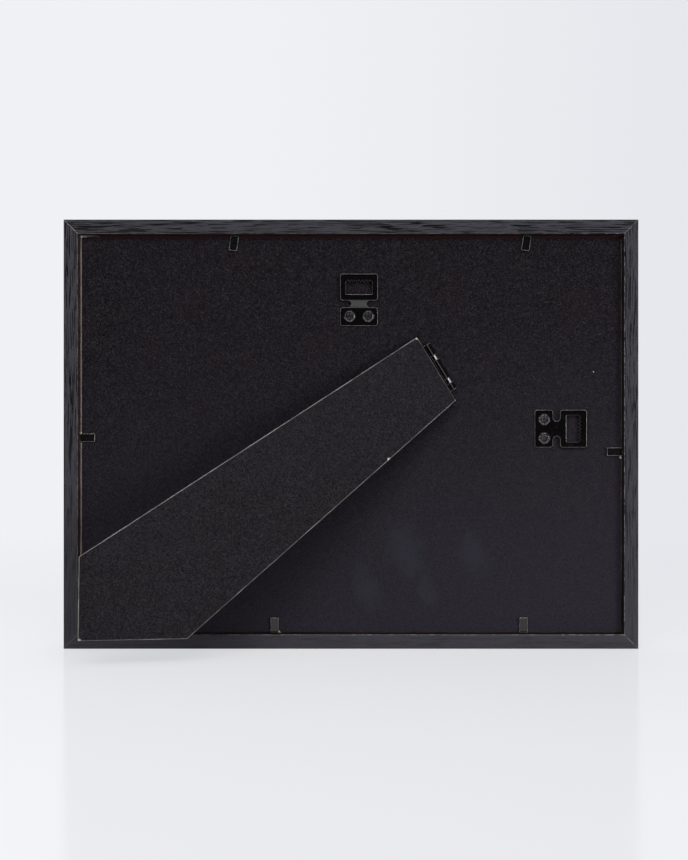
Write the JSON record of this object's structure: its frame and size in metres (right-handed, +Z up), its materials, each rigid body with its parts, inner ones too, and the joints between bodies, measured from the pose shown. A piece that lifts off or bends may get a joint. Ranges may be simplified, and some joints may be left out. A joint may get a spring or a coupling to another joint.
{
  "type": "easel back photo frame",
  "caption": "Black grained wooden photo frame with a hinged easel strut, toothed hangers for either way up, and bendable tabs that hold the back panel in.",
  "frame": {"origin": "middle of the bottom edge, halfway through the depth of the rails", "axes": "+X along the width, to the right when seen from behind; +Y out of the glass; +Z up"},
  "size_m": [0.314, 0.0767, 0.2345],
  "materials": {
    "rail_wood": "black stained open grain, satin",
    "black_board": "fibreboard faced with matt black paper, bare at the edges",
    "black_enamel": "gloss black enamel on sheet steel",
    "rivet_steel": "satin black",
    "tab_steel": "black oxide spring steel",
    "bright_steel": "bare bright steel",
    "clear_glass": "clear float glass",
    "mat_card": "off-white mount board with a sloped window edge",
    "insert_paper": "plain matt paper"
  },
  "bodies": {
    "frame": {"back_panel": "black_board", "bottom_rail": "rail_wood", "corner_v_nails": "bright_steel", "glass_pane": "clear_glass", "hanger_plate_side": "black_enamel", "hanger_plate_top": "black_enamel", "hanger_rivets_side": "rivet_steel", "hanger_rivets_top": "rivet_steel", "hinge_panel_leaf": "black_enamel", "insert_sheet": "insert_paper", "left_rail": "rail_wood", "mat_board": "mat_card", "right_rail": "rail_wood", "tab_root_bottom_left": "tab_steel", "tab_root_bottom_right": "tab_steel", "tab_root_left": "tab_steel", "tab_root_right": "tab_steel", "tab_root_top_left": "tab_steel", "tab_root_top_right": "tab_steel", "top_rail": "rail_wood"},
    "easel_strut": {"strut_board": "black_board", "hinge_strut_leaf": "black_enamel", "hinge_pin": "bright_steel"},
    "tab_top_left": {"tab_top_left": "tab_steel"},
    "tab_top_right": {"tab_top_right": "tab_steel"},
    "tab_bottom_left": {"tab_bottom_left": "tab_steel"},
    "tab_bottom_right": {"tab_bottom_right": "tab_steel"},
    "tab_left": {"tab_left": "tab_steel"},
    "tab_right": {"tab_right": "tab_steel"}
  },
  "joints": [
    {"name": "strut_swing", "type": "hinge", "parent": "frame", "child": "easel_strut", "pos_m": [0.0492, -0.0049, 0.15445], "axis": [-0.518, 0, 0.8554], "range_deg": [-15, 25]},
    {"name": "tab_top_left_bend", "type": "hinge", "parent": "frame", "child": "tab_top_left", "pos_m": [-0.06371, -0.0037, 0.22604], "axis": [-0.9905, 0, 0.1374], "range_deg": [-6, 74]},
    {"name": "tab_top_right_bend", "type": "hinge", "parent": "frame", "child": "tab_top_right", "pos_m": [0.0968, -0.0037, 0.226], "axis": [-0.9877, 0, 0.1564], "range_deg": [-6, 74]},
    {"name": "tab_bottom_left_bend", "type": "hinge", "parent": "frame", "child": "tab_bottom_left", "pos_m": [-0.0419, -0.0037, 0.00815], "axis": [1, 0, 0], "range_deg": [-6, 74]},
    {"name": "tab_bottom_right_bend", "type": "hinge", "parent": "frame", "child": "tab_bottom_right", "pos_m": [0.09471, -0.0037, 0.00817], "axis": [1, 0, 0.0087], "range_deg": [-6, 74]},
    {"name": "tab_left_bend", "type": "hinge", "parent": "frame", "child": "tab_left", "pos_m": [-0.14885, -0.0037, 0.11528], "axis": [0, 0, -1], "range_deg": [-6, 74]},
    {"name": "tab_right_bend", "type": "hinge", "parent": "frame", "child": "tab_right", "pos_m": [0.14885, -0.0037, 0.10762], "axis": [0, 0, 1], "range_deg": [-6, 74]}
  ]
}
